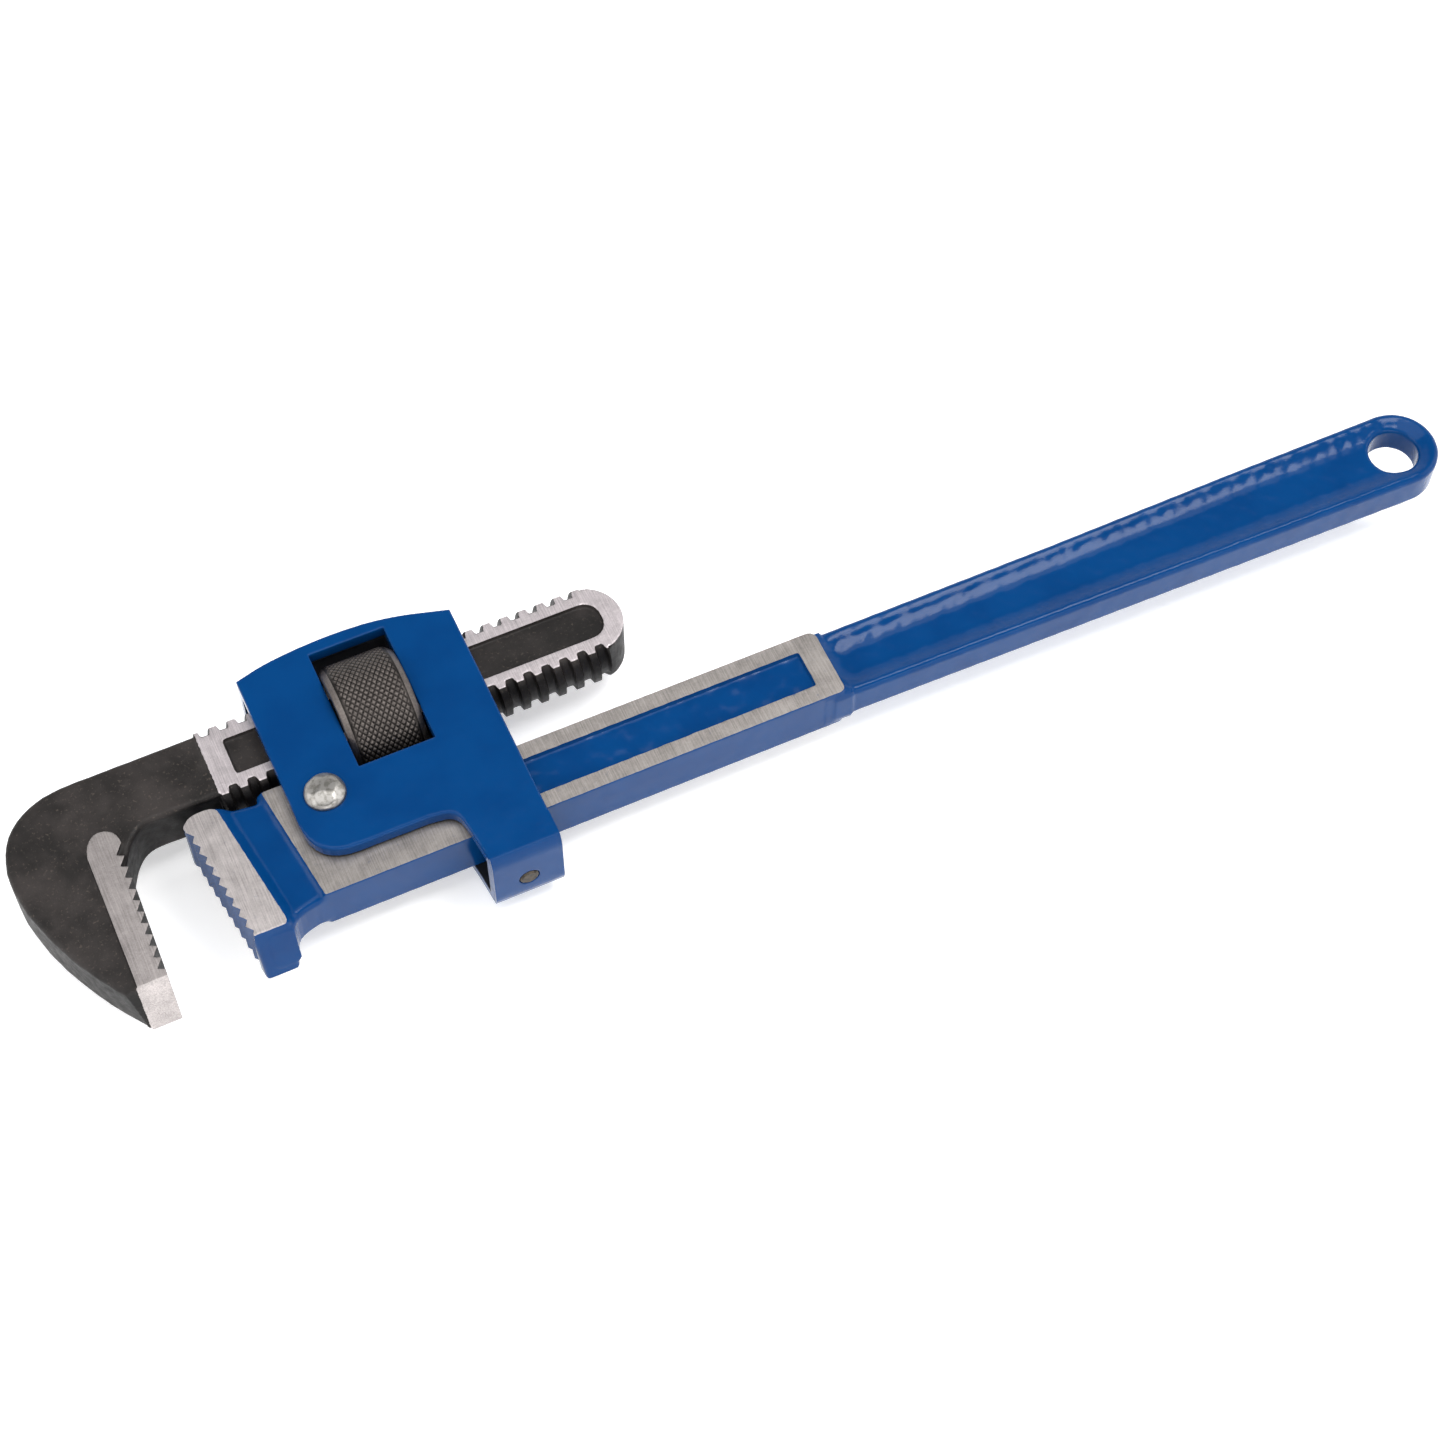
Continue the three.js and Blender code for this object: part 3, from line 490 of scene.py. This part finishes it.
# ---- adjusting nut ----
def knurled_nut():
    """A ring swept from its profile, with crossed grooves cut into the outside."""
    count, axial = 48, 1.72
    around = count * 11
    rows_in_knurl = 124
    chamfer, bore = 1.7, 14.02
    start, end = NUT_START, NUT_START + NUT_LENGTH
    profile = [(start + 0.5, bore, 0), (start + 0.15, bore + 0.4, 0), (start, bore + 0.9, 0),
               (start, 16.4, 0), (start + 0.12, 16.7, 0)]
    profile += [(start + 0.12 + chamfer * k / 5, 16.75 + 0.27 * k, 0) for k in range(1, 6)]
    knurl_start, knurl_end = start + 2.3, end - 2.3
    for k in range(rows_in_knurl + 1):
        x = knurl_start + (knurl_end - knurl_start) * k / rows_in_knurl
        edge = min(x - knurl_start, knurl_end - x)
        profile.append((x, 18.2 + min(edge / 0.8, 1) * 0.3, min(edge / 0.7, 1)))
    profile += [(end - (p[0] - start), p[1], 0) for p in profile[9::-1]]
    rows = len(profile)
    angle = np.arange(around) * 2 * math.pi / around
    vertices = []
    for x, radius, depth in profile:
        turn = angle * count / (2 * math.pi)
        u, v = turn + x / axial, turn - x / axial
        groove = np.maximum(np.abs(u - np.round(u)), np.abs(v - np.round(v))) * 2
        groove = np.clip((groove - 0.30) / 0.70, 0, 1) ** 1.3
        r = radius - 0.42 * depth * groove
        vertices.append(np.stack([np.full(around, x), SHANK_Y + r * np.cos(angle),
                                  r * np.sin(angle)], 1))
    vertices = np.concatenate(vertices)
    i, j = np.meshgrid(np.arange(rows), np.arange(around), indexing="ij")
    nxt_i, nxt_j = (i + 1) % rows, (j + 1) % around
    quads = np.stack([i * around + j, i * around + nxt_j, nxt_i * around + nxt_j,
                      nxt_i * around + j], -1).reshape(-1, 4)
    pieces["knurled_nut"] = mesh_object("knurled_nut", vertices, quads[:, ::-1], 50.0)


knurled_nut()


# ---- materials ----
class Paint:
    """Node material with short calls for the patterns used here."""

    def __init__(self, name):
        self.material = bpy.data.materials.new(name)
        self.material.use_nodes = True
        self.tree = self.material.node_tree
        self.shader = self.tree.nodes["Principled BSDF"]
        self.place = self.tree.nodes.new("ShaderNodeTexCoord").outputs["Object"]
        self.axes = self.node("ShaderNodeSeparateXYZ", Vector=self.place)

    def node(self, kind, **inputs):
        made = self.tree.nodes.new(kind)
        for key, value in inputs.items():
            self.feed(made.inputs[key.replace("_", " ")], value)
        return made

    def feed(self, socket, value):
        if isinstance(value, bpy.types.NodeSocket):
            self.tree.links.new(value, socket)
        elif value is not None:
            socket.default_value = value

    def math(self, operation, a, b=None, c=None):
        made = self.tree.nodes.new("ShaderNodeMath")
        made.operation = operation
        for socket, value in zip(made.inputs, (a, b, c)):
            if value is not None:
                self.feed(socket, value)
        return made.outputs[0]

    def noise(self, size, detail=3.0, rough=0.5, stretch=None, shift=0.0):
        """Noise of features about `size` millimetres across."""
        place = self.tree.nodes.new("ShaderNodeMapping")
        self.feed(place.inputs["Vector"], self.place)
        place.inputs["Location"].default_value = (shift, shift * 0.7, -shift)
        place.inputs["Scale"].default_value = stretch or (1, 1, 1)
        made = self.node("ShaderNodeTexNoise", Vector=place.outputs[0], Scale=1000 / size,
                         Detail=detail, Roughness=rough)
        return made.outputs["Fac"]

    def step(self, value, low, high):
        made = self.tree.nodes.new("ShaderNodeMapRange")
        made.interpolation_type = "SMOOTHSTEP"
        self.feed(made.inputs["Value"], value)
        made.inputs["From Min"].default_value = low
        made.inputs["From Max"].default_value = high
        return made.outputs["Result"]

    def span(self, value, low, high, to_low, to_high):
        made = self.tree.nodes.new("ShaderNodeMapRange")
        self.feed(made.inputs["Value"], value)
        for key, number in (("From Min", low), ("From Max", high), ("To Min", to_low),
                            ("To Max", to_high)):
            made.inputs[key].default_value = number
        return made.outputs["Result"]

    def blend(self, share, first, second):
        made = self.tree.nodes.new("ShaderNodeMix")
        made.data_type = "RGBA"
        self.feed(made.inputs["Factor"], share)
        for key, value in (("A", first), ("B", second)):
            socket = [s for s in made.inputs if s.name == key and s.type == "RGBA"][0]
            self.feed(socket, (*value, 1.0) if isinstance(value, tuple) else value)
        return [s for s in made.outputs if s.type == "RGBA"][0]

    def mix(self, share, first, second):
        made = self.tree.nodes.new("ShaderNodeMix")
        made.data_type = "FLOAT"
        self.feed(made.inputs["Factor"], share)
        for key, value in (("A", first), ("B", second)):
            socket = [s for s in made.inputs if s.name == key and s.type == "VALUE"][0]
            self.feed(socket, value)
        return [s for s in made.outputs if s.type == "VALUE"][0]

    def scale(self, color, share):
        """Colour made darker or lighter by a share."""
        made = self.tree.nodes.new("ShaderNodeVectorMath")
        made.operation = "SCALE"
        self.feed(made.inputs[0], color)
        self.feed(made.inputs["Scale"], share)
        return made.outputs[0]

    def bump(self, *layers):
        """Bumps from (height, millimetres) layers."""
        normal = None
        for height, depth in layers:
            made = self.tree.nodes.new("ShaderNodeBump")
            made.inputs["Strength"].default_value = 1.0
            made.inputs["Distance"].default_value = depth / 1000
            self.feed(made.inputs["Height"], height)
            if normal is not None:
                self.feed(made.inputs["Normal"], normal)
            normal = made.outputs[0]
        return normal

    def face(self, half):
        """Height above the plane `half` millimetres from the middle, on either side."""
        return self.math("SUBTRACT",
                         self.math("ABSOLUTE", self.math("SUBTRACT", self.axes.outputs["Z"], MIDDLE)),
                         half / 1000)

    def finish(self, color, roughness, metallic=None, normal=None):
        self.feed(self.shader.inputs["Base Color"],
                  (*color, 1.0) if isinstance(color, tuple) else color)
        self.feed(self.shader.inputs["Roughness"], roughness)
        if metallic is not None:
            self.feed(self.shader.inputs["Metallic"], metallic)
        if normal is not None:
            self.feed(self.shader.inputs["Normal"], normal)
        return self.material


BLUE = (0.0010, 0.040, 0.152)
DEEP = (0.0008, 0.035, 0.138)
HEAD_STEEL = (0.335, 0.308, 0.290)
PAD_STEEL = (0.385, 0.350, 0.340)
HEEL_STEEL = (0.49, 0.45, 0.44)
RACK_STEEL = (0.60, 0.545, 0.555)


def enamel(paint):
    """Colour, roughness and bumps of the glossy blue paint."""
    cloud = paint.noise(14, 2)
    fine = paint.noise(1.1, 2)
    color = paint.blend(paint.step(cloud, 0.35, 0.7), BLUE, DEEP)
    roughness = paint.span(fine, 0.3, 0.7, 0.11, 0.18)
    paint.shader.inputs["Specular IOR Level"].default_value = 0.14
    slow, small = paint.noise(7.0, 1.5), paint.noise(2.2, 1.0, shift=3.0)
    return color, roughness, [(slow, 0.16), (small, 0.03)]


def ground_steel(paint, tint):
    """Colour, roughness and bump of steel ground in one direction."""
    lines = paint.noise(0.42, 3, 0.65, (1.0, 0.03, 1.0))
    grain = paint.noise(0.5, 3, 0.6)
    patches = paint.noise(7, 3, 0.6)
    share = paint.math("ADD", paint.math("MULTIPLY", lines, 0.50),
                       paint.math("MULTIPLY_ADD", grain, 0.20,
                                  paint.math("MULTIPLY", patches, 0.30)))
    worn = paint.span(share, 0.34, 0.64, 0.54, 1.20)
    color = paint.scale(tint, worn)
    roughness = paint.span(share, 0.3, 0.7, 0.50, 0.38)
    return color, roughness, (lines, 0.012)


def handle_material():
    paint = Paint("blue_enamel_and_ground_steel")
    color, rough, waves = enamel(paint)
    x = paint.axes.outputs["X"]
    heel_side = paint.math("LESS_THAN", x, (SHIFT[0] - 62) / 1000)
    tint = paint.blend(heel_side, HEAD_STEEL, HEEL_STEEL)
    steel, steel_rough, grain = ground_steel(paint, tint)
    ragged = paint.math("MULTIPLY", paint.math("SUBTRACT", paint.noise(1.6, 4, 0.6), 0.5), 0.0001)
    face = paint.mix(heel_side, paint.face(HEAD_HALF), paint.face(HEEL_HALF))
    high = paint.math("ADD", face, ragged)
    mask = paint.step(high, -0.00005, -0.00001)
    return paint.finish(paint.blend(mask, color, steel), paint.mix(mask, rough, steel_rough),
                        mask, paint.bump(grain, *waves))


def housing_material():
    paint = Paint("blue_enamel")
    color, rough, waves = enamel(paint)
    x, y = paint.axes.outputs["X"], paint.axes.outputs["Y"]
    along = paint.math("ABSOLUTE", paint.math("SUBTRACT", x, (SHIFT[0] - 20.0) / 1000))
    arch = paint.math("MULTIPLY_ADD", paint.math("MULTIPLY", along, along), -4.6,
                      (SHIFT[1] + 63.0) / 1000)
    # Surfaces inside the channel, between the plates and above the band, get a mottled near-black
    # colour: painted shade of the shadowed channel.
    deep = paint.math("MULTIPLY", paint.math("LESS_THAN", paint.face(9.0), 0.0),
                      paint.math("LESS_THAN", along, 0.0316))
    low_side = paint.math("GREATER_THAN", y, (SHIFT[1] + BAND_INSIDE - 0.3) / 1000)
    inside = paint.math("MULTIPLY", deep,
                        paint.math("MULTIPLY", low_side, paint.math("LESS_THAN", y, arch)))
    shade_mottle = paint.noise(1.5, 4, 0.6)
    channel_shade_color = paint.blend(shade_mottle, (0.006, 0.007, 0.010), (0.016, 0.018, 0.024))
    return paint.finish(paint.blend(inside, color, channel_shade_color), paint.mix(inside, rough, 0.6), None,
                        paint.bump(*waves))


def oxide(paint):
    """Colour, roughness and bumps of black oxide on a forging, with painted shade on its side walls,
    throat and threads.
    """
    speck = paint.noise(0.9, 4, 0.65)
    cloud = paint.noise(17, 3, 0.6, shift=2.0)
    scale = paint.noise(2.6, 4, 0.6, shift=5.0)
    color = paint.blend(paint.step(cloud, 0.35, 0.7), (0.0095, 0.0078, 0.0072),
                        (0.030, 0.0248, 0.0232))
    color = paint.blend(paint.math("MULTIPLY", paint.step(speck, 0.57, 0.70), 0.4), color,
                        (0.105, 0.085, 0.068))
    # Faces lower than the ground pads (side walls, the throat, the rack's threads) are darkened to 0.4
    # of the colour: painted shade.
    flank_shade = paint.step(paint.face(7.4), -0.0014, 0.0003)
    color = paint.scale(color, paint.mix(flank_shade, 0.4, 1.0))
    roughness = paint.span(scale, 0.3, 0.7, 0.42, 0.62)
    return color, roughness, [(scale, 0.10), (speck, 0.025)]


def hook_material():
    paint = Paint("black_oxide_and_ground_steel")
    color, rough, waves = oxide(paint)
    x, y = paint.axes.outputs["X"], paint.axes.outputs["Y"]
    ragged = paint.math("MULTIPLY", paint.math("SUBTRACT", paint.noise(1.2, 4, 0.6), 0.5), 0.00006)
    pad = paint.step(paint.math("ADD", paint.face(PAD_HALF), ragged), -0.00005, -0.00001)
    rack_face = paint.step(paint.math("ADD", paint.face(SHANK_HALF), ragged), -0.00005, -0.00001)
    border = paint.math("ADD", x, paint.math("MULTIPLY", ragged, 12.0))
    rack = paint.math("MULTIPLY", rack_face,
                      paint.math("GREATER_THAN", border, (SHIFT[0] + SHANK_START + 0.2) / 1000))
    slope = (HOOK_TIP[0] - HOOK_TIP[1]) / (2 * PAD_HALF)
    end_line = paint.math("MULTIPLY_ADD", paint.math("SUBTRACT", paint.axes.outputs["Z"], MIDDLE),
                          slope, (SHIFT[1] + sum(HOOK_TIP) / 2) / 1000)
    end = paint.math("MULTIPLY",
                     paint.math("LESS_THAN", paint.math("SUBTRACT", y, end_line), 0.00008),
                     paint.math("GREATER_THAN", border, (SHIFT[0] - 109.6) / 1000))
    mask = paint.math("MAXIMUM", paint.math("MAXIMUM", pad, end), rack)
    tint = paint.blend(rack, paint.blend(end, PAD_STEEL, HEEL_STEEL), RACK_STEEL)
    paint.shader.inputs["Specular IOR Level"].default_value = 0.25
    steel, steel_rough, grain = ground_steel(paint, tint)
    return paint.finish(paint.blend(mask, color, steel), paint.mix(mask, rough, steel_rough),
                        paint.mix(mask, 0.12, 1.0), paint.bump(grain, *waves))


def nut_material():
    paint = Paint("knurled_steel")
    speck = paint.noise(0.6, 3)
    out = paint.math("POWER", paint.math("SUBTRACT", paint.axes.outputs["Y"],
                                         (SHIFT[1] + SHANK_Y) / 1000), 2.0)
    up = paint.math("POWER", paint.math("SUBTRACT", paint.axes.outputs["Z"], MIDDLE), 2.0)
    radius = paint.math("SQRT", paint.math("ADD", out, up))
    crest = paint.math("ADD", radius, paint.math("MULTIPLY", speck, 0.00012))
    base = paint.blend(paint.step(speck, 0.35, 0.7), (0.046, 0.040, 0.037), (0.070, 0.061, 0.056))
    # Knurl crests are made lighter and the grooves darker: painted highlight on the crests and painted
    # shade in the grooves, with some crest wear; the smooth end bands are 2.4 times lighter.
    worn = paint.mix(paint.step(crest, 0.01818, 0.01851), 0.35, 2.0)
    plain = paint.math("LESS_THAN", radius, 0.01805)
    return paint.finish(paint.scale(base, paint.mix(plain, worn, 2.4)),
                        paint.span(speck, 0.3, 0.7, 0.34, 0.5), 0.9, paint.bump((speck, 0.02)))


def rivet_material():
    paint = Paint("bright_steel")
    dent = paint.noise(1.8, 3, 0.6)
    fine = paint.noise(0.5, 4, 0.6)
    color = paint.blend(paint.step(dent, 0.42, 0.66), (0.37, 0.355, 0.335), (0.22, 0.21, 0.192))
    return paint.finish(color, paint.span(fine, 0.3, 0.7, 0.30, 0.44), 1.0,
                        paint.bump((dent, 0.09), (fine, 0.02)))


def spring_material():
    paint = Paint("spring_steel")
    lines = paint.noise(0.4, 3, 0.6, (0.05, 1, 1))
    color = paint.blend(lines, (0.09, 0.10, 0.12), (0.20, 0.21, 0.23))
    return paint.finish(color, paint.span(lines, 0.3, 0.7, 0.25, 0.42), 1.0, paint.bump((lines, 0.01)))


def small_rivet_material():
    paint = Paint("small_rivet_steel")
    stain = paint.noise(1.2, 4, 0.6)
    # The colour is kept near-black, a painted shade standing in for the shadow of the band's rivet
    # hole, with random stained tone on top.
    color = paint.blend(paint.step(stain, 0.35, 0.65), (0.018, 0.015, 0.012), (0.085, 0.068, 0.05))
    return paint.finish(color, paint.span(stain, 0.3, 0.7, 0.35, 0.6), 0.7, paint.bump((stain, 0.05)))


LOOKS = {
    "forged_handle": (handle_material(), "handle_body", "handle", "blue_enamel"),
    "hook_and_rack": (hook_material(), "hook_jaw_body", "hook_jaw", "black_oxide_steel"),
    "housing": (housing_material(), "frame_body", "frame", "blue_enamel"),
    "pivot_pin": (rivet_material(), "frame_body", "pivot_rivet", "bright_steel"),
    "knurled_nut": (nut_material(), "nut_body", "adjusting_nut", "knurled_steel"),
}
for name, (material, body, node, slot) in LOOKS.items():
    piece = pieces[name]
    piece.data.materials.clear()
    piece.data.materials.append(material)
    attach(piece, body)
    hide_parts(node)

spring, small_rivet = spring_material(), small_rivet_material()
for node, material in (("frame_spring", spring), ("jaw_spring", spring),
                       ("frame_spring_rivet", small_rivet), ("jaw_spring_rivet", small_rivet)):
    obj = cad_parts[node]
    for place in obj.material_slots:
        place.link = "OBJECT"
        place.material = material


# ---- floor ----
def floor_material():
    paint = Paint("pale_floor")
    grain = paint.noise(3, 2)
    paint.shader.inputs["Emission Color"].default_value = (1.0, 1.0, 1.0, 1.0)
    paint.shader.inputs["Emission Strength"].default_value = 0.41
    return paint.finish(paint.blend(grain, (0.84, 0.84, 0.84), (0.87, 0.87, 0.87)), 0.8)


def floor_ring():
    """Radius and height in metres along the floor, flat and then sweeping up into a backdrop."""
    flat, bend, wall = 2.6, 1.4, 3.4
    rings = [(1.3, 0.0), (flat, 0.0)]
    for k in range(1, 13):
        turn = math.pi / 2 * k / 12
        rings.append((flat + bend * math.sin(turn), bend - bend * math.cos(turn)))
    return rings + [(flat + bend, wall)]


sides = 96
rings = floor_ring()
floor_points, floor_faces = [(0.0, 0.0, 0.0)], []
for radius, height in rings:
    floor_points += [(radius * math.cos(2 * math.pi * k / sides),
                      radius * math.sin(2 * math.pi * k / sides), height) for k in range(sides)]
for k in range(sides):
    after = (k + 1) % sides
    floor_faces.append((0, 1 + k, 1 + after))
    for ring in range(len(rings) - 1):
        near, far = 1 + ring * sides, 1 + (ring + 1) * sides
        floor_faces.append((near + k, far + k, far + after, near + after))
floor_mesh = bpy.data.meshes.new("floor")
floor_mesh.from_pydata(floor_points, [], floor_faces)
floor_mesh.shade_smooth()
floor = bpy.data.objects.new("floor", floor_mesh)
floor.location.z = cad_low.z - 0.0002
floor.data.materials.append(floor_material())
bpy.context.scene.collection.objects.link(floor)


# ---- light ----
def softbox(name, place, target, size, power):
    """Rectangular light at `place`, turned to `target`, both in metres."""
    light = bpy.data.lights.new(name, "AREA")
    light.shape = "RECTANGLE"
    light.size, light.size_y = size
    light.energy = power
    obj = bpy.data.objects.new(name, light)
    obj.location = place
    obj.rotation_euler = (Vector(target) - Vector(place)).to_track_quat("-Z", "Y").to_euler()
    bpy.context.scene.collection.objects.link(obj)


softbox("overhead", (-0.05, 0.04, 1.25), (-0.05, 0.0, 0.0), (1.7, 0.9), 10.5)
softbox("key", (0.48, -0.17, 1.2), (0.1, 0.0, 0.0), (0.62, 0.42), 8.0)
softbox("left", (-1.15, 0.1, 0.75), (-0.1, 0.0, 0.0), (0.9, 0.9), 5.0)
softbox("right", (1.2, -0.35, 0.7), (0.05, 0.0, 0.0), (0.9, 0.9), 3.0)
softbox("low_front", (-0.1, -1.2, 0.5), (0.0, 0.0, 0.0), (1.5, 0.4), 4.5)

world = bpy.data.worlds.new("studio")
world.use_nodes = True
world.node_tree.nodes["Background"].inputs["Color"].default_value = (0.9, 0.95, 1.0, 1.0)
world.node_tree.nodes["Background"].inputs["Strength"].default_value = 0.18
bpy.context.scene.world = world
bpy.context.scene.view_settings.view_transform = "Standard"

# ---- camera ----
camera_data = bpy.data.cameras.new("camera")
camera_data.lens = 73.49
camera_data.sensor_width = 36.0
camera_data.clip_start, camera_data.clip_end = 0.05, 20.0
camera = bpy.data.objects.new("camera", camera_data)
camera.location = (-0.20354, -0.41875, 0.74618)
camera.rotation_euler = tuple(math.radians(a) for a in (31.050, -0.227, -24.704))
bpy.context.scene.collection.objects.link(camera)
bpy.context.scene.camera = camera
